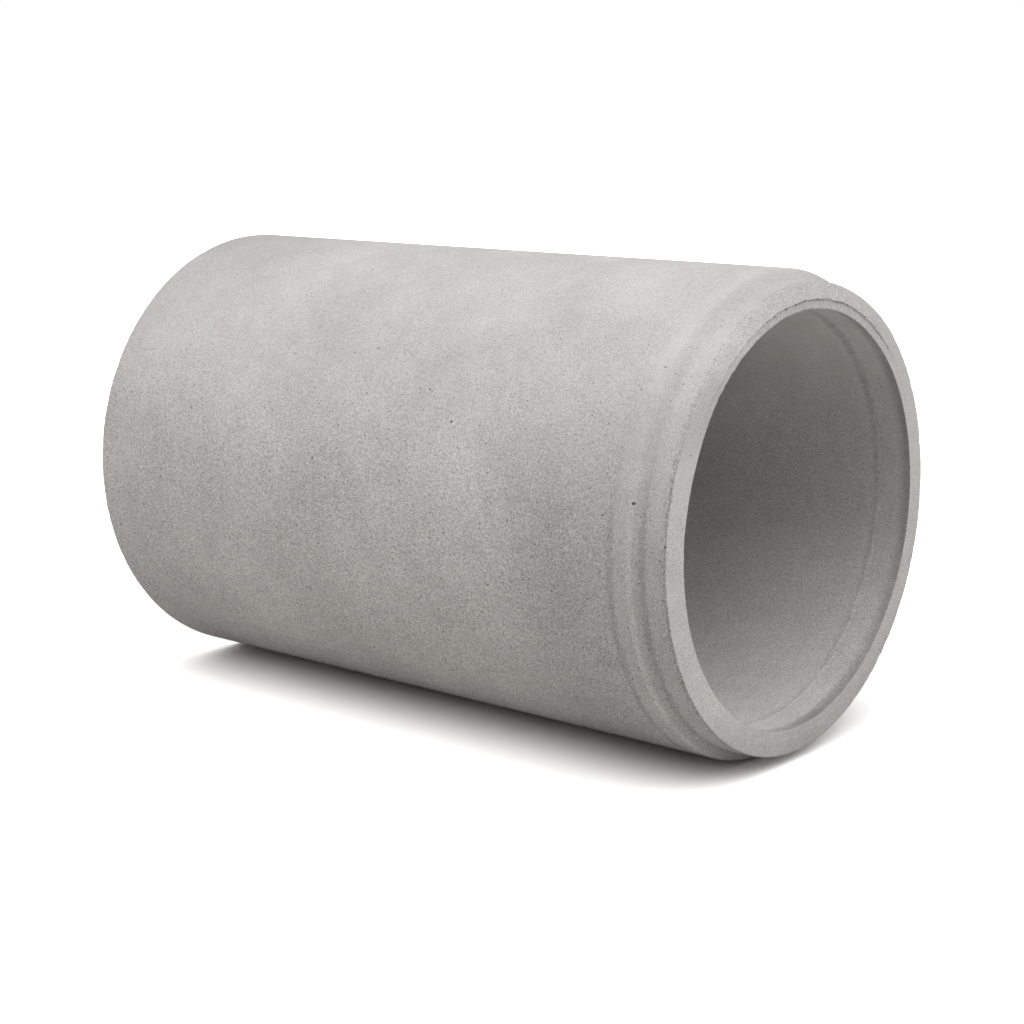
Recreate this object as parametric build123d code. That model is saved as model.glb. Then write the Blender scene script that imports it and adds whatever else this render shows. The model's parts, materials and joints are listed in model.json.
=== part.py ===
import os
from math import atan2, degrees

from build123d import *

# All sizes are in millimetres. The pipe lies on its side: its axis runs along X, the spigot
# points to +X and the socket to -X. The origin is on the ground, under the middle of the pipe.

# Barrel
total_length = 1000.0
bore_diameter = 540.0
wall_thickness = 50.0

# Spigot: the stepped-down end that goes into the next pipe
spigot_step = 14.5
spigot_reach = 50.0
shoulder_run = 14.0
rim_rounding = 6.0
root_hollow = 5.0

# Nose of the spigot: a narrow ring round the lip, sunk behind a ledge, and a faint bevel out to the edge
nose_ring_width = 11.0
nose_ring_depth = 2.0
nose_ledge_run = 1.0
nose_bevel_run = 2.0
nose_edge_bevel = 2.0

# Mouth inside the spigot: the lip, a shallow recess behind it, and a step down to the bore
lip_step = 1.0
lip_edge_bevel = 1.0
lip_flare_run = 7.0
mouth_step = 2.5
mouth_depth = 48.0
mouth_step_run = 6.0
mouth_hollow = 3.0

# Fine nick round the barrel, where the mould's wall meets its end ring
mould_line_offset = 24.0
mould_line_width = 4.0
mould_line_depth = 1.0

# Joint: room between a spigot and the socket of the next pipe
joint_clearance = 3.0
joint_gap = 5.0

# Socket at the hidden end
socket_face_width = 9.0
socket_edge_rounding = 4.0
socket_edge_bevel = 2.0

# Radii
bore_r = bore_diameter / 2
outer_r = bore_r + wall_thickness
spigot_r = outer_r - spigot_step
lip_r = bore_r + lip_step
mouth_r = bore_r + mouth_step
ring_r = lip_r + nose_ring_width
nose_r = ring_r + nose_ledge_run
socket_r = spigot_r + joint_clearance
socket_face_r = outer_r - socket_face_width

# Places along the axis
tip_x = total_length / 2
lip_x = tip_x - nose_ring_depth
back_x = -total_length / 2
rim_x = tip_x - spigot_reach
root_x = rim_x + shoulder_run
line_x = rim_x - mould_line_offset
mouth_end_x = tip_x - mouth_depth

# The socket's mouth slopes like the spigot's shoulder, and its seat like the spigot's nose.
shoulder_slope = shoulder_run / spigot_step
nose_slope = nose_bevel_run / (spigot_r - nose_r)
engaged_length = spigot_reach - socket_face_width * shoulder_slope - joint_clearance
socket_throat_x = back_x + (socket_face_r - socket_r) * shoulder_slope
socket_seat_x = back_x + engaged_length + joint_gap
socket_bottom_x = socket_seat_x - (socket_r - nose_r) * nose_slope


def wall_section():
    """Half section of the wall: along the axis in X, and out from the axis in Y."""
    half_line = mould_line_width / 2
    corners = [
        (back_x, outer_r, fillet, socket_edge_rounding),
        (line_x - half_line, outer_r, None, 0),
        (line_x, outer_r - mould_line_depth, None, 0),
        (line_x + half_line, outer_r, None, 0),
        (rim_x, outer_r, fillet, rim_rounding),
        (root_x, spigot_r, fillet, root_hollow),
        (tip_x - nose_bevel_run, spigot_r, chamfer, nose_edge_bevel),
        (tip_x, nose_r, None, 0),
        (lip_x, ring_r, None, 0),
        (lip_x, lip_r, chamfer, lip_edge_bevel),
        (lip_x - lip_flare_run, mouth_r, fillet, mouth_hollow),
        (mouth_end_x, mouth_r, fillet, mouth_hollow),
        (mouth_end_x - mouth_step_run, bore_r, fillet, mouth_hollow),
        (socket_seat_x, bore_r, chamfer, socket_edge_bevel),
        (socket_seat_x, nose_r, None, 0),
        (socket_bottom_x, socket_r, chamfer, socket_edge_bevel),
        (socket_throat_x, socket_r, None, 0),
        (back_x, socket_face_r, chamfer, socket_edge_bevel),
    ]
    half = make_face(Polyline([corner[:2] for corner in corners], close=True))
    for along, out, finish, size in corners:
        if finish:
            corner = half.vertices().sort_by_distance((along, out, 0))[0]
            half = finish(corner, size)
    return half


def concrete_pipe():
    """The whole casting: its section turned once round the axis, which lies a radius off the ground."""
    return Pos(0, 0, outer_r) * revolve(wall_section(), Axis.X, 360)


pipe = concrete_pipe()

os.makedirs("parts", exist_ok=True)
export_step(pipe, "parts/concrete_pipe.step")

print("outside, spigot and socket diameters:", 2 * outer_r, 2 * spigot_r, 2 * socket_r)
print("slope of the shoulder, degrees:", round(degrees(atan2(spigot_step, shoulder_run)), 1))
print("depth of the socket and length of spigot in it:", round(socket_seat_x - back_x, 1), round(engaged_length, 1))
print("litres of concrete:", round(pipe.volume / 1e6, 2))
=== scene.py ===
# %% [markdown]
# # A concrete sewer pipe
#
# The real pipe is cast in one piece. Stiff, earth-damp concrete is vibrated into an upright
# steel mould, and the mould is stripped at once, so the surface is matt and sandy, with small air
# holes, and its edges crumble a little. This file dresses the plain pipe of the frame: first its
# shape, as one turned mesh with worn edges and real holes, then its concrete, then the light.

# %% Load the frame
import json
from collections import namedtuple
from math import atan2, cos, pi, radians, sin
from random import Random

import bmesh
import bpy
import numpy as np
from mathutils import Euler, Matrix, Vector, noise


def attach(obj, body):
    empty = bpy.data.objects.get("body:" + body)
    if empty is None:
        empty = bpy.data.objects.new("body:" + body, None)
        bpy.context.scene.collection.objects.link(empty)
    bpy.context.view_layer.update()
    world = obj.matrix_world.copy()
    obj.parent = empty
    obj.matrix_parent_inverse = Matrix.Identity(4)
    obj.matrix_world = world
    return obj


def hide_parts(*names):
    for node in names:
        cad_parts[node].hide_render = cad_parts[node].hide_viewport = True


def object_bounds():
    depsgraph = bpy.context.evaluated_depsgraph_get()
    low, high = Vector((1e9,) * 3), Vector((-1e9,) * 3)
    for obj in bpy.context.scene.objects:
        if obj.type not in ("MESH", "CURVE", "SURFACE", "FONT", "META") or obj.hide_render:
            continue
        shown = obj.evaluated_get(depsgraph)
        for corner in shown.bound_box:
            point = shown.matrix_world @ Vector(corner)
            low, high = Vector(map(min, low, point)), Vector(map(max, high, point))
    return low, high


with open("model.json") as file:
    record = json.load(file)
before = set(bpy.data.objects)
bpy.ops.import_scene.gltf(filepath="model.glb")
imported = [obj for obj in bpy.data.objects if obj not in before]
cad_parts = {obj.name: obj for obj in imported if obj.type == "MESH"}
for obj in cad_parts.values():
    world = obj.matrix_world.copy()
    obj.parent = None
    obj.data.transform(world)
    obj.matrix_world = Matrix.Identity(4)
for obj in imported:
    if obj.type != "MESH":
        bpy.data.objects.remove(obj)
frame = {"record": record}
cad_low, cad_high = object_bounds()
print("frame box, mm:", [round(1000 * c, 1) for c in (*cad_low, *cad_high)])

# %% [markdown]
# ## Sizes
#
# Blender works in metres and a pipe maker in millimetres, so one small function turns one into
# the other. The big sizes are read from the frame: its box gives the length and the outside, and
# its mounts give the spigot, the socket and the bore. Only the small steps between them are
# written here.

# %% Read the big sizes from the frame
def mm(value):
    return value / 1000


NODE = "concrete_pipe"
mounts = {mount["name"]: mount for mount in frame["record"]["mounts"]}

back_x, tip_x = cad_low.x, cad_high.x
axis_z = (cad_low.z + cad_high.z) / 2
outer_r = min(cad_high.y - cad_low.y, cad_high.z - cad_low.z) / 2
spigot_r = mm(mounts["spigot"]["dims"]["r_mm"])
socket_r = mm(mounts["socket"]["dims"]["r_mm"])
bore_r = mm(mounts["waterway"]["dims"]["r_mm"])
print("radii, mm:", [round(1000 * r, 1) for r in (outer_r, spigot_r, socket_r, bore_r)])

# %% Name the small steps of the two ends
# The spigot's end: a shoulder, a nose with a ledge on its face, a lip, and a recess behind it
shoulder_reach = mm(50)
shoulder_run = mm(14)
lip_r = bore_r + mm(1)
mouth_r = bore_r + mm(2.5)
ring_r = lip_r + mm(11)
ring_depth = mm(2)
nose_r = ring_r + mm(1)
nose_run = mm(2)
mouth_flare = mm(7)
mouth_depth = mm(48)
mouth_step = mm(6)

# The socket's end
socket_face_r = outer_r - mm(9)
socket_throat = mm(2.4)
socket_depth = mm(43.3)
socket_seat_run = mm(2.3)

# The line that the mould's end ring leaves round the barrel
mould_line_back = mm(24)
mould_line_half = mm(3)
mould_line_depth = mm(0.8)

rim_x = tip_x - shoulder_reach
root_x = rim_x + shoulder_run
line_x = rim_x - mould_line_back
nose_edge_x = tip_x - nose_run
lip_x = tip_x - ring_depth
seat_x = back_x + socket_depth
print("radii at the lip, mm:", [round(1000 * r, 1) for r in (lip_r, mouth_r, ring_r, nose_r)])

# %% [markdown]
# ## The section
#
# A pipe is a turned shape, so its wall's section is drawn once and spun round the axis. The
# section could be typed in as a long list of points, but a few corners are easier to read and to
# change: each corner has a rounding, which a vertex bevel turns into an arc.

# %% Draw the corners of the section
# Each corner: along the axis, out from the axis, rounding, steps in its arc
CORNERS = [
    (back_x, outer_r, mm(4), 4),
    (line_x - mould_line_half, outer_r, mm(1.3), 2),
    (line_x, outer_r - mould_line_depth, mm(1.3), 2),
    (line_x + mould_line_half, outer_r, mm(1.3), 2),
    (rim_x, outer_r, mm(3), 4),
    (root_x, spigot_r, mm(2), 3),
    (nose_edge_x, spigot_r, mm(1.5), 3),
    (tip_x, nose_r, mm(0.5), 2),
    (lip_x, ring_r, mm(0.5), 2),
    (lip_x, lip_r, mm(0.4), 1),
    (lip_x - mouth_flare, mouth_r, mm(2.5), 3),
    (tip_x - mouth_depth, mouth_r, mm(2.5), 3),
    (tip_x - mouth_depth - mouth_step, bore_r, mm(3), 3),
    (seat_x, bore_r, mm(2), 2),
    (seat_x, nose_r, mm(1), 2),
    (seat_x - socket_seat_run, socket_r, mm(2), 2),
    (back_x + socket_throat, socket_r, mm(1.5), 2),
    (back_x, socket_face_r, mm(1.5), 2),
]

section = bmesh.new()
corner_verts = [section.verts.new((along, 0, axis_z + out)) for along, out, _, _ in CORNERS]
section.faces.new(corner_verts)
for vert, (_, _, rounding, steps) in zip(corner_verts, CORNERS):
    bmesh.ops.bevel(
        section, geom=[vert], affect="VERTICES", offset=rounding, offset_type="OFFSET",
        segments=steps, profile=0.5, material=-1, clamp_overlap=False)
bmesh.ops.delete(section, geom=section.faces[:], context="FACES_ONLY")
print("section corners and points:", len(CORNERS), len(section.verts))

# %% Add rows where the surface needs them
NOSE_ROW, SPIGOT_ROW, SOCKET_ROW = mm(3), mm(7), mm(12)
BARREL_ROW, BORE_ROW = mm(48), mm(90)


def row_spacing(along, out):
    """Longest stretch without a row: short at the worn ends, long on the plain barrel and bore."""
    if along > rim_x - mm(20):
        return NOSE_ROW if out > lip_r - mm(1) and along > tip_x - mm(12) else SPIGOT_ROW
    if along < seat_x + mm(5) and out < outer_r - mm(1):
        return SOCKET_ROW
    return BARREL_ROW if out > spigot_r else BORE_ROW


for edge in section.edges[:]:
    middle = (edge.verts[0].co + edge.verts[1].co) / 2
    cuts = int(edge.calc_length() / row_spacing(middle.x, middle.z - axis_z))
    if cuts:
        bmesh.ops.subdivide_edges(section, edges=[edge], cuts=cuts)
print("section points with rows:", len(section.verts))

# %% [markdown]
# ## The casting
#
# The section is spun through an eighth of a turn, and that sector is doubled until it closes,
# which is quicker than one long spin. Concrete is never quite true: the ledge on the nose wanders
# and fades out, the top of the nose is worn, and the walls have the slow waves of an old steel
# mould. Wear and waves go inwards, so that the pipe keeps its size.

# %% Spin an eighth of a turn, then double it three times
SECTOR = pi / 4
SECTOR_STEPS = 45
WELD_REACH = mm(0.01)

casting = section
axis_point = (0, 0, axis_z)
bmesh.ops.spin(
    casting, geom=casting.verts[:] + casting.edges[:], cent=axis_point, axis=(1, 0, 0),
    angle=SECTOR, steps=SECTOR_STEPS, use_merge=False)
for turned in (SECTOR, 2 * SECTOR, 4 * SECTOR):
    whole = casting.verts[:] + casting.edges[:] + casting.faces[:]
    copied = bmesh.ops.duplicate(casting, geom=whole)
    copied_verts = [item for item in copied["geom"] if isinstance(item, bmesh.types.BMVert)]
    turning = Matrix.Rotation(turned, 3, "X")
    bmesh.ops.rotate(casting, verts=copied_verts, cent=axis_point, matrix=turning)
bmesh.ops.remove_doubles(casting, verts=casting.verts[:], dist=WELD_REACH)
bmesh.ops.recalc_face_normals(casting, faces=casting.faces[:])
print("casting faces:", len(casting.faces), "litres:", round(1000 * casting.calc_volume(), 2))

# %% Make even steps and uneven noise
NOISE_SMOOTHNESS, NOISE_STEP = 0.7, 2.0


def smooth(value, start, end):
    """0 where the value is at start, 1 where it is at end, and an even curve between them."""
    share = min(1.0, max(0.0, (value - start) / (end - start)))
    return share * share * (3 - 2 * share)


def uneven_at(place, size, octaves):
    """Rough noise about 0, with its largest bumps of this size; more octaves are more ragged."""
    return noise.fractal(place / size, NOISE_SMOOTHNESS, NOISE_STEP, octaves)


# %% Let the lip's ledge, the worn nose and the mould line fade out round the pipe
# The ledge shows round the top and is filled below; angles are turns from +Y up over +Z
LEDGE_MIDDLE = radians(98)
LEDGE_HALF, LEDGE_END = radians(38), radians(62)
LEDGE_FILL = 0.85
LEDGE_WANDER = mm(2.4)
LEDGE_WANDER_SIZE = mm(9)

# The face slopes back over its width where the top of the nose is worn
WORN_HALF, WORN_END = radians(18), radians(52)
WORN_RUN = mm(6)

# The mould line is gone above this height, a share of the radius
LINE_FADES, LINE_GONE = 0.1, 0.45

ledge_r = (nose_r + ring_r) / 2
worn_from_x = tip_x - 3 * WORN_RUN

for vert in casting.verts:
    spoke = Vector((0, vert.co.y, vert.co.z - axis_z))
    out = spoke.length
    spoke /= out
    from_middle = abs(atan2(spoke.z, spoke.y) - LEDGE_MIDDLE)
    filled = smooth(from_middle, LEDGE_HALF, LEDGE_END)
    if vert.co.x > lip_x - mm(0.6) and abs(out - ledge_r) < mm(1.6):
        ragged = uneven_at(vert.co, LEDGE_WANDER_SIZE, 2)
        vert.co += spoke * LEDGE_WANDER * ragged * (1 - filled)
    if out < nose_r and vert.co.x > lip_x - mouth_flare:
        near_lip = smooth(vert.co.x, lip_x - mouth_flare, lip_x - mm(1.5))
        below_tip = min(tip_x - vert.co.x, ring_depth)
        vert.co.x += LEDGE_FILL * filled * near_lip * below_tip
    if out > nose_r and vert.co.x > worn_from_x:
        worn = 1 - smooth(from_middle, WORN_HALF, WORN_END)
        worn *= min(1.0, (out - nose_r) / (spigot_r - nose_r))
        vert.co.x -= WORN_RUN * worn * smooth(vert.co.x, worn_from_x, nose_edge_x)
    in_line = mm(0.02) < outer_r - out < 2 * mould_line_depth
    if abs(vert.co.x - line_x) < 1.5 * mould_line_half and in_line:
        vert.co += spoke * (outer_r - out) * smooth(spoke.z, LINE_FADES, LINE_GONE)
casting.normal_update()
print("litres with the ledge filled and the nose worn:", round(1000 * casting.calc_volume(), 2))

# %% Give the walls the slow waves of the mould, and crumble the edges
WAVE_LENGTH = mm(220)
WAVE_DEPTH = mm(0.7)
CRUMBLE_SIZE = mm(9)
CRUMBLE_DEPTH = mm(1.1)
CRUMBLE_REACH = mm(6)

SHARP_EDGES = [
    (nose_edge_x, spigot_r), (tip_x, nose_r), (lip_x, lip_r), (rim_x, outer_r), (back_x, outer_r)]


def edge_wear(along, out):
    """1 on the sharp edges of the two ends, falling to 0 a few millimetres away."""
    nearest = min(((along - x) ** 2 + (out - r) ** 2) ** 0.5 for x, r in SHARP_EDGES)
    return max(0.0, 1 - nearest / CRUMBLE_REACH)


for vert in casting.verts:
    out = Vector((0, vert.co.y, vert.co.z - axis_z)).length
    inwards = -vert.normal
    wave = 0.5 + 0.5 * noise.noise(vert.co / WAVE_LENGTH)
    crumble = max(0.0, uneven_at(vert.co, CRUMBLE_SIZE, 3))
    sink = WAVE_DEPTH * wave * (out > spigot_r + mm(1))
    sink += CRUMBLE_DEPTH * crumble * edge_wear(vert.co.x, out)
    vert.co += inwards * sink
print("litres with waves and crumbled edges:", round(1000 * casting.calc_volume(), 2))


# %% Turn the casting into an object
def new_object(name, data):
    """An object with this name and data, linked to the scene."""
    made = bpy.data.objects.new(name, data)
    bpy.context.scene.collection.objects.link(made)
    return made


pipe_mesh = bpy.data.meshes.new("pipe_casting")
casting.to_mesh(pipe_mesh)
casting.free()
pipe = new_object("pipe_casting", pipe_mesh)
print("casting points:", len(pipe_mesh.vertices))

# %% [markdown]
# ## Air holes and lost grains
#
# Vibration leaves small air holes, and stripping the mould pulls grains of sand out of the sharp
# edges. These could be drawn with bump alone, but along an edge the eye sees the outline, so they
# are cut out of the mesh: small uneven pebbles are taken away from the casting with a Boolean.
# Pebbles that touch each other go into different batches, because each cutter has to be a clean
# closed shape.

# %% Prepare to scatter pebbles
SMALL_BIAS = 2.5

Pebble = namedtuple("Pebble", "centre size lined")
rng = Random(7)
pebbles = []


def on_pipe(along, out, turn):
    """A point at this place along the axis, distance from it, and turn from +Y up over +Z."""
    return Vector((along, out * cos(turn), axis_z + out * sin(turn)))


def scatter(count, ranges, lined, turns=(0, 2 * pi)):
    """Places pebbles at random inside these ranges; most of them are near the smallest size."""
    from_x, to_x, inner, outer, small, large = ranges
    for _ in range(count):
        size = small + (large - small) * rng.random() ** SMALL_BIAS
        centre = on_pipe(rng.uniform(from_x, to_x), rng.uniform(inner, outer), rng.uniform(*turns))
        pebbles.append(Pebble(centre, size, lined))


# %% Scatter chips along the edges, and air holes over the walls
# Each: how many, from and to along the axis, from and to out from it, smallest and largest
CHIPS = [
    (360, nose_edge_x - mm(3), nose_edge_x + mm(1), spigot_r - mm(1), spigot_r, mm(0.5), mm(1.6)),
    (330, lip_x - mm(0.6), lip_x + mm(0.2), lip_r - mm(0.6), lip_r + mm(0.6), mm(0.5), mm(1.3)),
    (30, rim_x - mm(3), rim_x + mm(2), outer_r - mm(0.5), outer_r, mm(0.6), mm(1.3)),
    (140, back_x, back_x + mm(1), socket_face_r, outer_r, mm(0.6), mm(2.0)),
]
AIR_HOLES = [
    (200, nose_edge_x - mm(7), nose_edge_x, spigot_r - mm(0.6), spigot_r, mm(0.5), mm(1.2)),
    (30, nose_edge_x, tip_x, nose_r, spigot_r, mm(0.5), mm(1.1)),
    (50, root_x, nose_edge_x, spigot_r, spigot_r, mm(0.6), mm(1.3)),
    (150, back_x, rim_x, outer_r, outer_r, mm(0.6), mm(1.6)),
    (60, seat_x, tip_x - mouth_depth, bore_r, bore_r, mm(0.6), mm(1.8)),
]
# Chips show fresh concrete, and air holes get painted shade inside
for lined, places in ((False, CHIPS), (True, AIR_HOLES)):
    for count, *ranges in places:
        scatter(count, ranges, lined)
print("pebbles:", len(pebbles))

# %% Set the pebbles of the ragged seam on the nose
SEAM_FROM, SEAM_TO = radians(38), radians(150)
SEAM_PITCH = mm(1.5)
SEAM_WANDER = mm(1.5)
SEAM_WANDER_TURNS = 9
SEAM_LEAST = 0.2
SEAM_SMALL, SEAM_GROWTH = mm(0.6), mm(1.1)
# Some of the seam's pebbles get painted shade inside, like the air holes
SEAM_SHADED = 0.4

seam_x = tip_x - mm(0.7)
seam_r = nose_r - mm(0.5)

turn = SEAM_FROM
while turn < SEAM_TO:
    # The seam is strongest in the middle of its arc, and thins out towards both ends
    strength = sin(pi * (turn - SEAM_FROM) / (SEAM_TO - SEAM_FROM))
    wander = SEAM_WANDER * noise.noise(Vector((turn * SEAM_WANDER_TURNS, 0, 0)))
    if rng.random() < SEAM_LEAST + (1 - SEAM_LEAST) * strength:
        size = SEAM_SMALL + SEAM_GROWTH * strength * rng.random()
        centre = on_pipe(seam_x, seam_r + wander, turn)
        pebbles.append(Pebble(centre, size, rng.random() < SEAM_SHADED))
    turn += SEAM_PITCH / nose_r
print("pebbles with the seam:", len(pebbles))

# %% Roughen the top of the lip, where the core drags on the wet concrete
LIP_CHIPS = (lip_x - mm(0.4), lip_x + mm(0.2), lip_r - mm(0.3), lip_r + mm(0.7), mm(0.7), mm(1.5))

scatter(150, LIP_CHIPS, False, (SEAM_FROM - radians(8), SEAM_TO))
print("pebbles with the lip:", len(pebbles))

# %% Place the few air holes that the eye finds first
# Each: distance behind the tip, distance from the axis, turn from +Y up over +Z, size
PLACED_HOLES = [
    (mm(47), outer_r - mm(4.4), radians(168), mm(2.2)),
    (mm(4), spigot_r - mm(0.4), radians(176.5), mm(1.6)),
    (mm(344), outer_r - mm(0.5), radians(156), mm(1.9)),
    (mm(396), outer_r - mm(0.5), radians(149), mm(1.7)),
    (mm(513), outer_r - mm(0.5), radians(140), mm(1.5)),
    (mm(571), outer_r - mm(0.5), radians(169), mm(1.7)),
]
for behind, out, turn, size in PLACED_HOLES:
    pebbles.append(Pebble(on_pipe(tip_x - behind, out, turn), size, True))
print("pebbles with the placed holes:", len(pebbles))

# %% Sort the pebbles into batches that don't touch
APART = 1.5


def touches(one, other):
    return (one.centre - other.centre).length < APART * (one.size + other.size)


batches = []
for pebble in pebbles:
    free = next((b for b in batches if not any(touches(pebble, placed) for placed in b)), None)
    if free is None:
        free = []
        batches.append(free)
    free.append(pebble)
print("batches:", [len(batch) for batch in batches])

# %% Make one pebble, and a batch of copies of it
# Both materials get their nodes further down; the faces only need to know which one they show
concrete = bpy.data.materials.new("vibrated_cast_concrete")
# The second material is painted shade: a darker concrete inside the air holes
hole_shade = bpy.data.materials.new("painted_shade_inside_air_holes")

LEAST_SQUASH, MOST_SQUASH = 0.8, 1.25

pebble_form = bmesh.new()
bmesh.ops.create_icosphere(pebble_form, subdivisions=2, radius=1.0)
pebble_points = np.array([vert.co for vert in pebble_form.verts])
pebble_faces = np.array([[vert.index for vert in face.verts] for face in pebble_form.faces])
pebble_form.free()
print("points and faces of a pebble:", len(pebble_points), len(pebble_faces))


def pebble_batch(batch):
    """One mesh of the batch's pebbles: the same form, squashed and tumbled each in its own way."""
    points, faces, hole_shade_indices = [], [], []
    for centre, size, lined in batch:
        squash = Matrix.Diagonal([size * rng.uniform(LEAST_SQUASH, MOST_SQUASH) for _ in range(3)])
        tumble = Euler([rng.uniform(0, 2 * pi) for _ in range(3)]).to_matrix()
        faces.append(pebble_faces + len(points) * len(pebble_points))
        points.append(pebble_points @ np.array(tumble @ squash).T + np.array(centre))
        hole_shade_indices += [int(lined)] * len(pebble_faces)
    mesh = bpy.data.meshes.new("pebbles")
    mesh.from_pydata(np.concatenate(points), [], np.concatenate(faces).tolist())
    mesh.materials.append(concrete)
    mesh.materials.append(hole_shade)
    mesh.polygons.foreach_set("material_index", hole_shade_indices)
    return mesh


# %% Cut each batch out of the casting
pipe_mesh.materials.append(concrete)
pipe_mesh.materials.append(hole_shade)

for number, batch in enumerate(batches):
    cutter = new_object("pebbles", pebble_batch(batch))
    cut = pipe.modifiers.new("holes", "BOOLEAN")
    cut.operation = "DIFFERENCE"
    cut.solver = "MANIFOLD"
    cut.object = cutter
    evaluated = pipe.evaluated_get(bpy.context.evaluated_depsgraph_get())
    pierced = bpy.data.meshes.new_from_object(evaluated)
    pipe.modifiers.remove(cut)
    bpy.data.objects.remove(cutter)
    pipe.data = pierced
    print("batch", number, "faces now:", len(pierced.polygons))

# %% Close the few tiny gaps where chips cross
# The cuts leave a few slivers that fold onto themselves: they are dropped, and the gaps drawn shut
pipe_mesh = pipe.data
pipe_mesh.name = "pipe_casting"
pipe_mesh.validate()
cut_form = bmesh.new()
cut_form.from_mesh(pipe_mesh)
gap_edges = [edge for edge in cut_form.edges if len(edge.link_faces) == 1]
longest_gap = max((edge.calc_length() for edge in gap_edges), default=0.0)
bmesh.ops.collapse(cut_form, edges=gap_edges)
still_open = sum(len(edge.link_faces) != 2 for edge in cut_form.edges)
cut_form.to_mesh(pipe_mesh)
cut_form.free()
print("gap edges:", len(gap_edges), "longest, mm:", round(1000 * longest_gap, 2))
print("edges still open:", still_open)

# %% Shade it smooth, but keep the rims of the holes crisp
CRISP_ANGLE = radians(38)

pipe_mesh.shade_smooth()
pipe_mesh.set_sharp_from_angle(angle=CRISP_ANGLE)
pipe_mesh.calc_loop_triangles()
shaded_hole_faces = sum(face.material_index == 1 for face in pipe_mesh.polygons)
print("triangles:", len(pipe_mesh.loop_triangles), "faces inside holes:", shaded_hole_faces)

# %% Let the casting ride in the frame and stand for the plain pipe
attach(pipe, "root")
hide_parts(NODE)

# %% [markdown]
# ## The concrete
#
# Vibrated, stripped-at-once concrete is cement paste round grey sand. It gives the eye a matt,
# warm light grey with several scales of change: soft clouds as wide as a hand, where the mix was
# wetter or drier, patches of a few centimetres, grains of sand that each have their own grey, and
# dark pinholes, whose dark is painted shade. The end that the steel ring pressed is smoother than
# the barrel, and painted shade darkens all but the top of the barrel behind it. Shade is painted
# into the corners, and light and shade into other places too.

# %% Make the helpers for materials
MATT = {"Roughness": 0.95, "Specular IOR Level": 0.2}


def srgb(code):
    """A hex colour, as a screen shows it, turned into the linear values that the shader needs."""
    parts = [int(code[i:i + 2], 16) / 255 for i in (1, 3, 5)]
    return [p / 12.92 if p <= 0.04045 else ((p + 0.055) / 1.055) ** 2.4 for p in parts] + [1.0]


def empty_tree(owner):
    """The material's node tree, with nothing in it yet."""
    owner.use_nodes = True
    owner.node_tree.nodes.clear()
    return owner.node_tree


def add(tree, kind, sockets=None, **settings):
    """Adds a node with its settings; a socket takes a value or another node's output."""
    node = tree.nodes.new(kind)
    for name, value in settings.items():
        setattr(node, name, value)
    for name, value in (sockets or {}).items():
        if isinstance(value, bpy.types.NodeSocket):
            tree.links.new(value, node.inputs[name])
        else:
            node.inputs[name].default_value = value
    return node


# %% Make the helpers for sums, where every value is a number or another node's output
def calc(tree, operation, *values):
    """One math node."""
    return add(tree, "ShaderNodeMath", dict(enumerate(values)), operation=operation).outputs[0]


def product(tree, first, *others):
    """All the values multiplied."""
    for other in others:
        first = calc(tree, "MULTIPLY", first, other)
    return first


def plus(tree, base, *parts):
    """The base, plus each part's value times its share."""
    for value, share in parts:
        base = calc(tree, "MULTIPLY_ADD", value, share, base)
    return base


def fade(tree, value, start, end, low=0.0, high=1.0):
    """Goes smoothly from low, where the value is at start, to high, where it is at end."""
    return add(tree, "ShaderNodeMapRange", {
        "Value": value, "From Min": start, "From Max": end, "To Min": low, "To Max": high},
        interpolation_type="SMOOTHSTEP").outputs["Result"]


# %% Make the helpers for patterns and colours
def parts_of(tree, vector):
    """The three numbers of a vector or a colour."""
    return add(tree, "ShaderNodeSeparateXYZ", {"Vector": vector}).outputs


def soft_noise(tree, place, size, detail):
    """Soft noise of this size in metres."""
    return add(tree, "ShaderNodeTexNoise", {
        "Vector": place, "Scale": 1 / size, "Detail": detail}).outputs["Fac"]


def cells_of(tree, place, size):
    """Uneven cells of this size: the distance from a cell's middle, and a number of its own."""
    cells = add(tree, "ShaderNodeTexVoronoi", {"Vector": place, "Scale": 1 / size})
    return cells.outputs["Distance"], parts_of(tree, cells.outputs["Color"])["X"]


def mix_colours(tree, factor, first, second, **settings):
    """The first colour where the factor is 0, and the second where it is 1."""
    return add(
        tree, "ShaderNodeMix", {"Factor": factor, "A": first, "B": second},
        data_type="RGBA", **settings).outputs["Result"]


# %% Find where on the pipe each point lies
tree = empty_tree(concrete)
coordinates = add(tree, "ShaderNodeTexCoord")
place = coordinates.outputs["Object"]
axes = parts_of(tree, place)
along, side = axes["X"], axes["Y"]
height = calc(tree, "SUBTRACT", axes["Z"], axis_z)
frontness = parts_of(tree, coordinates.outputs["Normal"])["X"]
squares = calc(tree, "ADD", calc(tree, "POWER", side, 2), product(tree, height, height))
out = calc(tree, "SQRT", squares)


def level(start, end):
    """0 at one height over the axis and 1 at another, both as shares of the outer radius."""
    return fade(tree, height, start * outer_r, end * outer_r)


# %% Tell the face, the wall and the inside apart
# The face is the flat end of the nose, and the wall and the inside stop sharply at its edges
near_tip = fade(tree, along, tip_x - mm(12), tip_x - mm(9))
face = product(tree, near_tip, fade(tree, frontness, 0.5, 0.85))
not_face = calc(tree, "SUBTRACT", 1.0, face)
wall = product(tree, fade(tree, out, spigot_r - mm(8), spigot_r - mm(3)), not_face)
inside = product(tree, fade(tree, out, mouth_r + mm(4), mouth_r + mm(1)), not_face)

# Heights that several masks share
low_side = level(0.55, -0.1)
lower = level(0.9, -0.1)
crown = level(0.55, 0.95)

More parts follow.
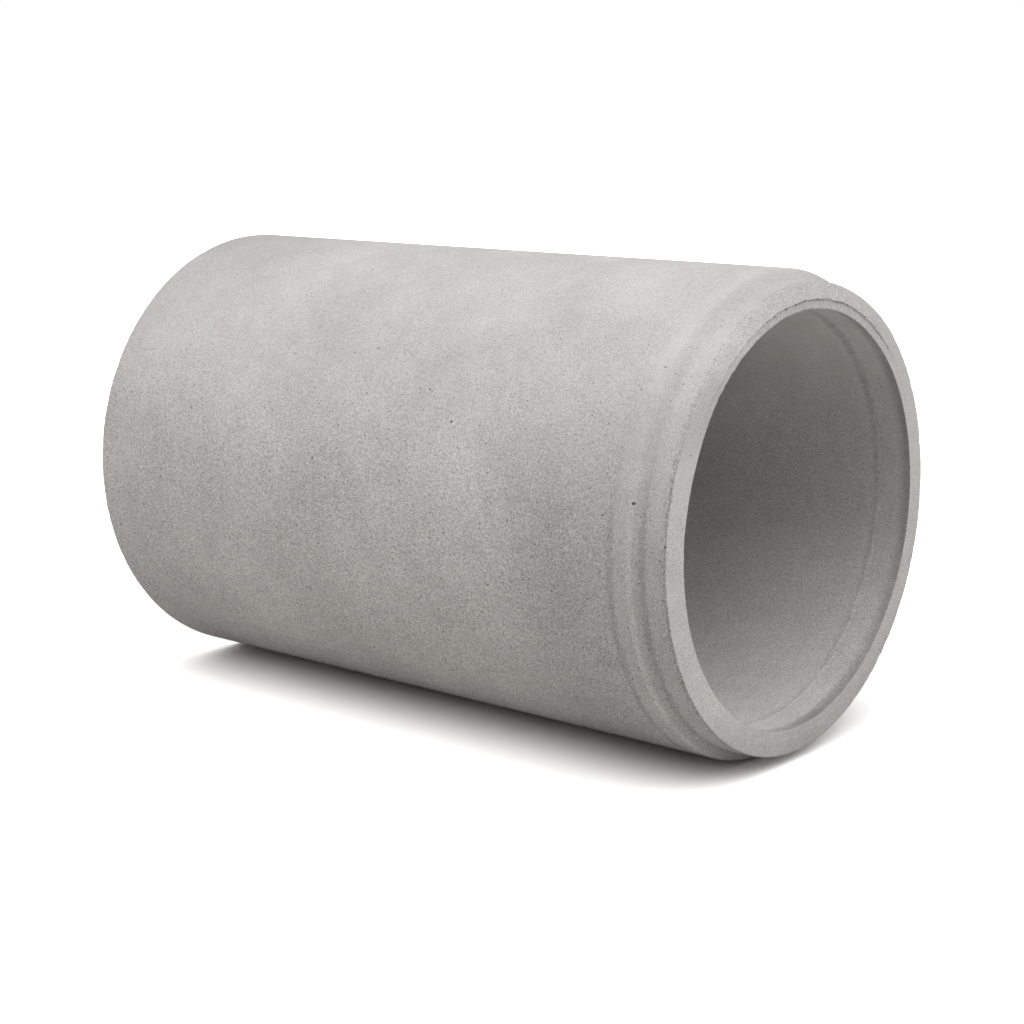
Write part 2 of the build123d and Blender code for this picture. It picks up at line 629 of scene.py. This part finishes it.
# The end that the mould's ring pressed, and painted shade on all but the top of the barrel behind
# it
pressed = product(tree, fade(tree, along, line_x - mm(3), line_x + mm(3)), wall)
painted_shade_behind_end = product(tree, fade(tree, along, rim_x - mm(270), rim_x - mm(80)), wall, level(0.75, 0.15))
print("mask nodes:", len(tree.nodes))

# %% Make the scales of the concrete
CLOUD_SIZE = mm(150)
PATCH_SIZE = mm(34)
GRAIN_SIZE = mm(4)
SAND_SIZE = mm(1.05)
PINHOLE_PITCH = mm(5.5)

clouds = soft_noise(tree, place, CLOUD_SIZE, 2.0)
patches = soft_noise(tree, place, PATCH_SIZE, 2.0)
grain = soft_noise(tree, place, GRAIN_SIZE, 1.0)
sand_distance, sand_tone = cells_of(tree, place, SAND_SIZE)
pinhole_distance, pinhole_size = cells_of(tree, place, PINHOLE_PITCH)
print("scales, mm:", [1000 * s for s in (CLOUD_SIZE, PATCH_SIZE, GRAIN_SIZE, SAND_SIZE)])


# %% Mark the bands that run round the pipe: a painted highlight and a crumbly edge
def band(middle, half_width, soft, where, across=along):
    """1 in a band round the pipe at this place along it, fading out softly on both sides."""
    distance = calc(tree, "ABSOLUTE", calc(tree, "SUBTRACT", across, middle))
    return product(tree, fade(tree, distance, half_width + soft, half_width), where)


# A painted highlight runs round the rim, strongest on its lower side, and the nose's edge crumbles
# all the way round
painted_rim_highlight = band(rim_x + mm(2), mm(1), mm(3), plus(tree, 0.2, (low_side, 0.8)))
crumbly = band(nose_edge_x - mm(3), mm(3), mm(5), wall)

# %% Paint shade into the corners, the crease and the recesses
RAGGED = mm(14)
SEAM_SHADE = 0.06

ragged_along = plus(tree, along, (calc(tree, "SUBTRACT", grain, 0.5), RAGGED))
root_wall = product(tree, wall, plus(tree, 0.3, (low_side, 0.7)))
crown_wall = product(tree, wall, crown)
low_wall = product(tree, wall, low_side)
floor_inside = product(tree, inside, fade(tree, height, -0.75 * bore_r, -0.95 * bore_r))

# Each: middle of a band, half width, softness, on which wall, how much light the painted shade
# takes.
# They are painted shade at the shoulder's root, in the mould line's crease, at the bore's step,
# behind the lip and low in the mouth; the band at the nose's edge is only a darker line
PAINTED_SHADE_BANDS = [
    (root_x, mm(1.5), mm(4), root_wall, 0.21),
    (root_x, mm(0.5), mm(1), crown_wall, 0.08),
    (line_x, mm(2), mm(5), low_wall, 0.17),
    (nose_edge_x - mm(1), mm(1), mm(4), wall, 0.12),
    (tip_x - mouth_depth - mm(3), mm(1), mm(7), inside, 0.26),
    (lip_x, mm(4), mm(15), inside, 0.27),
    (lip_x - mm(7), mm(5), mm(8), floor_inside, 0.22),
]
painted_shade = 0.0
for middle, half_width, soft, where, depth in PAINTED_SHADE_BANDS:
    painted_shade = plus(tree, painted_shade, (band(middle, half_width, soft, where, ragged_along), depth))
# Painted shade under the ledge, on the upper part of the nose's face
seam = product(tree, band(seam_r, mm(1), mm(2), face, out), level(0.3, 0.75))
painted_shade = plus(tree, painted_shade, (seam, SEAM_SHADE))
print("bands of dirt:", len(PAINTED_SHADE_BANDS) + 1)

# %% Say where the concrete is rough
# The side that lay lowest when it was lifted out of the mould has lost more of its skin, and
# where the ring and the core pressed it, more of the skin is kept
ROUGH_ABOVE, ROUGHER_BELOW = 0.63, 0.8
RING_SMOOTHS, CORE_SMOOTHS = 0.3, 0.35

smooth_face = product(tree, face, level(0.8, 0.3))
high_face = product(tree, face, crown)
ROUGH_PLACES = [(smooth_face, -0.6), (crumbly, 0.5), (high_face, 0.3)]

skin_lost = plus(tree, ROUGH_ABOVE, (lower, ROUGHER_BELOW))
left_by_ring = plus(tree, 1.0, (pressed, -RING_SMOOTHS))
left_by_core = plus(tree, 1.0, (inside, -CORE_SMOOTHS))
roughness = product(tree, skin_lost, left_by_ring, left_by_core)
roughness = plus(tree, roughness, *ROUGH_PLACES)
print("rough places:", len(ROUGH_PLACES))

# %% Weigh the scales against each other
CLOUD_SHARE, PATCH_SHARE, GRAIN_SHARE = 0.5, 0.24, 0.2
SAND_MIDDLE = 0.6
SAND_SHARE = 0.85
TONE_BASE = 0.31
PINHOLE_LESS, PINHOLE_RANGE = 0.085, 0.3
PINHOLE_SOFTNESS = 0.06
PINHOLE_DARKNESS = 1.2

slow = plus(tree, TONE_BASE, (patches, PATCH_SHARE), (clouds, CLOUD_SHARE))
fast = calc(tree, "SUBTRACT", plus(tree, sand_tone, (grain, GRAIN_SHARE)), SAND_MIDDLE)
tone = plus(tree, slow, (product(tree, fast, roughness), SAND_SHARE))

# About a quarter of the cells have no pinhole: the radius that their number gives is below 0
pinhole_radius = plus(tree, -PINHOLE_LESS, (pinhole_size, PINHOLE_RANGE))
pinhole_edge = calc(tree, "SUBTRACT", pinhole_distance, pinhole_radius)
# The pinholes are not cut, so their dark is painted shade
pinhole = product(tree, roughness, wall, fade(tree, pinhole_edge, 0.0, -PINHOLE_SOFTNESS))
tone = plus(tree, tone, (pinhole, -PINHOLE_DARKNESS))
print("nodes with the scales:", len(tree.nodes))

# %% Find the places with painted light and shade, and the face's own paler tone
# On the face: painted light on its near side, a darker stretch high on that side, and painted shade
# on its lowest part
near_side = product(tree, face, fade(tree, side, 0.0, -0.8 * outer_r))
darker_face_stretch = band(0.5 * outer_r, mm(20), mm(50), near_side, height)
low_face = product(tree, face, level(-0.55, -0.9))

# On the wall, painted light and shade: all but its top, the top of its near half, the spigot's top,
# and the far end
lower_wall = product(tree, wall, level(0.85, 0.2))
near_crown = product(tree, crown_wall, fade(tree, along, mm(-100), mm(200)))
spigot_crown = product(tree, crown_wall, fade(tree, along, root_x, root_x + mm(3)))
far_top = product(tree, wall, fade(tree, along, back_x + mm(420), back_x), level(0.6, 1.0))
far_end = product(tree, wall, fade(tree, along, back_x + mm(130), back_x + mm(30)))

# Inside: painted shade in the depth of the bore, and painted light on its floor and the floor's
# near side
deep_inside = product(tree, inside, fade(tree, along, mm(250), 0.0))
bore_floor = product(tree, inside, fade(tree, height, 0.0, -0.6 * bore_r))
near_floor = product(tree, bore_floor, fade(tree, side, mm(120), mm(-80)))

# Each: where, and how much paler it is, or darker where that is below 0. Apart from the face's
# own paler tone and its darker stretch, these are painted light and painted shade
TONES_AND_PAINTED_LIGHT = [
    (face, 0.16), (near_side, 0.08), (darker_face_stretch, -0.14), (low_face, -0.1), (high_face, 0.09),
    (painted_rim_highlight, 0.17), (lower_wall, 0.14), (painted_shade_behind_end, -0.21), (near_crown, 0.04),
    (spigot_crown, -0.12), (far_top, -0.09), (far_end, -0.03),
    (deep_inside, -0.2), (bore_floor, 0.14), (near_floor, 0.08),
]
print("places with a shade of their own:", len(TONES_AND_PAINTED_LIGHT))

# %% Colour the paste
DARK_PASTE = srgb("#a29e9b")
LIGHT_PASTE = srgb("#eae6e3")
WHITE = (1.0, 1.0, 1.0, 1.0)
COOL_TINT = (0.98, 1.003, 1.009, 1.0)
CROWN_COOLNESS = 0.9

paste = mix_colours(tree, tone, DARK_PASTE, LIGHT_PASTE, clamp_factor=False)
# The painted shade comes and goes with the patches
uneven_painted_shade = product(tree, painted_shade, fade(tree, patches, 0.3, 0.7, 0.75, 1.25))
paleness = plus(tree, calc(tree, "SUBTRACT", 1.0, uneven_painted_shade), *TONES_AND_PAINTED_LIGHT)
shaded = add(tree, "ShaderNodeVectorMath", {0: paste, "Scale": paleness}, operation="SCALE")

# Clouds of a cooler grey lie in the upper half, and the crown is cooler all over
coolness = product(tree, fade(tree, clouds, 0.48, 0.6), level(0.0, 0.5))
coolness = calc(tree, "MAXIMUM", coolness, product(tree, crown, CROWN_COOLNESS))
tint = mix_colours(tree, coolness, WHITE, COOL_TINT)
tinted = add(
    tree, "ShaderNodeVectorMath", {0: shaded.outputs["Vector"], 1: tint}, operation="MULTIPLY")

# %% Raise the grain and put the surface together
RELIEF_DEPTH = mm(1.3)
RELIEF_STRENGTH = 0.8
SAND_ROUNDNESS = 0.6

relief = plus(tree, fast, (sand_distance, -SAND_ROUNDNESS))
relief_depth = product(tree, roughness, RELIEF_DEPTH)
bump = add(tree, "ShaderNodeBump", {
    "Height": relief, "Strength": RELIEF_STRENGTH, "Distance": relief_depth})
surface = add(tree, "ShaderNodeBsdfPrincipled", {
    "Base Color": tinted.outputs["Vector"], "Normal": bump.outputs["Normal"], **MATT})
add(tree, "ShaderNodeOutputMaterial", {"Surface": surface.outputs["BSDF"]})
print("concrete nodes:", len(tree.nodes))

# %% Paint shade inside the air holes
DARK_HOLE_SHADE = srgb("#7b7773")
LIGHT_HOLE_SHADE = srgb("#a5a19d")

tree = empty_tree(hole_shade)
place = add(tree, "ShaderNodeTexCoord").outputs["Object"]
hole_shade_colour = mix_colours(tree, soft_noise(tree, place, GRAIN_SIZE, 2.0), DARK_HOLE_SHADE, LIGHT_HOLE_SHADE)
surface = add(tree, "ShaderNodeBsdfPrincipled", {"Base Color": hole_shade_colour, **MATT})
add(tree, "ShaderNodeOutputMaterial", {"Surface": surface.outputs["BSDF"]})
print("materials on the pipe:", [material.name for material in pipe.data.materials])

# %% [markdown]
# ## Floor, light and camera
#
# The pipe lies on a pale floor in a light tent. Two broad, soft patches light it from high up, one
# in front of the mouth and one beside the far end. Floor and tent show white to the camera, but
# bounce less light than that, so that the underside stays in shade.

# %% Tell what is looked at from what only lights
def seen_directly(tree):
    """1 for what the camera sees, also mirrored or through glass, and 0 for bounced light."""
    path = add(tree, "ShaderNodeLightPath").outputs
    mirrored = calc(tree, "MAXIMUM", path["Is Glossy Ray"], path["Is Transmission Ray"])
    return calc(tree, "MAXIMUM", path["Is Camera Ray"], mirrored)


# %% Lay the floor
FLOOR_RADIUS = 60.0

floor_mesh = bmesh.new()
bmesh.ops.create_circle(floor_mesh, cap_ends=True, segments=64, radius=FLOOR_RADIUS)
floor_data = bpy.data.meshes.new("floor")
floor_mesh.to_mesh(floor_data)
floor_mesh.free()
floor = new_object("floor", floor_data)
print("floor corners:", len(floor_data.vertices))

# %% Paint the floor
FLOOR_BOUNCE = (0.565, 0.55, 0.535, 1.0)
FLOOR_SHOWN = (1.9, 1.9, 1.9, 1.0)

floor_paint = bpy.data.materials.new("pale_floor")
tree = empty_tree(floor_paint)
seen = seen_directly(tree)
dull = add(tree, "ShaderNodeBsdfDiffuse", {"Color": FLOOR_BOUNCE})
white = add(tree, "ShaderNodeBsdfDiffuse", {"Color": FLOOR_SHOWN})
both = add(tree, "ShaderNodeMixShader", {
    "Fac": seen, 1: dull.outputs["BSDF"], 2: white.outputs["BSDF"]})
add(tree, "ShaderNodeOutputMaterial", {"Surface": both.outputs["Shader"]})
floor.data.materials.append(floor_paint)

# %% Light it with two broad, soft patches of sky
# Each: height over the floor, turn from +X, strength
SOFT_LIGHTS = [(radians(60), radians(0), 2.6), (radians(56), radians(225), 2.26)]
SOFTNESS = 6

world = bpy.data.worlds.new("light_tent")
bpy.context.scene.world = world
world.use_nodes = True
tree = world.node_tree
direction = add(tree, "ShaderNodeTexCoord").outputs["Generated"]
total = 0.0
for rise, turn, strength in SOFT_LIGHTS:
    aim = (cos(rise) * cos(turn), cos(rise) * sin(turn), sin(rise))
    facing = add(tree, "ShaderNodeVectorMath", {0: direction, 1: aim}, operation="DOT_PRODUCT")
    lobe = calc(tree, "POWER", calc(tree, "MAXIMUM", facing.outputs["Value"], 0.0), SOFTNESS)
    total = plus(tree, total, (lobe, strength))
seen_sky = add(tree, "ShaderNodeMix", {"Factor": seen_directly(tree), "A": total, "B": 1.0})
sky = tree.nodes["Background"]
sky.inputs["Color"].default_value = WHITE
tree.links.new(seen_sky.outputs["Result"], sky.inputs["Strength"])
print("patches of sky:", len(SOFT_LIGHTS))

# %% Stand the camera
FRAME_PIXELS = 1024
FOCAL_PIXELS = 2055.6
SENSOR_WIDTH = 36.0
CAMERA_TURN = radians(39.497)
CAMERA_RISE = radians(11.657)
CAMERA_PLACE = Vector((1.8421, -2.2177, 0.8619))

camera_data = bpy.data.cameras.new("camera")
camera_data.sensor_width = SENSOR_WIDTH
camera_data.lens = SENSOR_WIDTH * FOCAL_PIXELS / FRAME_PIXELS
camera_data.clip_end = 2 * FLOOR_RADIUS
camera = new_object("camera", camera_data)
camera.location = CAMERA_PLACE
camera.rotation_euler = (pi / 2 - CAMERA_RISE, 0, CAMERA_TURN)
bpy.context.scene.camera = camera
bpy.context.scene.view_settings.view_transform = "Standard"
print("lens, mm:", round(camera_data.lens, 1))
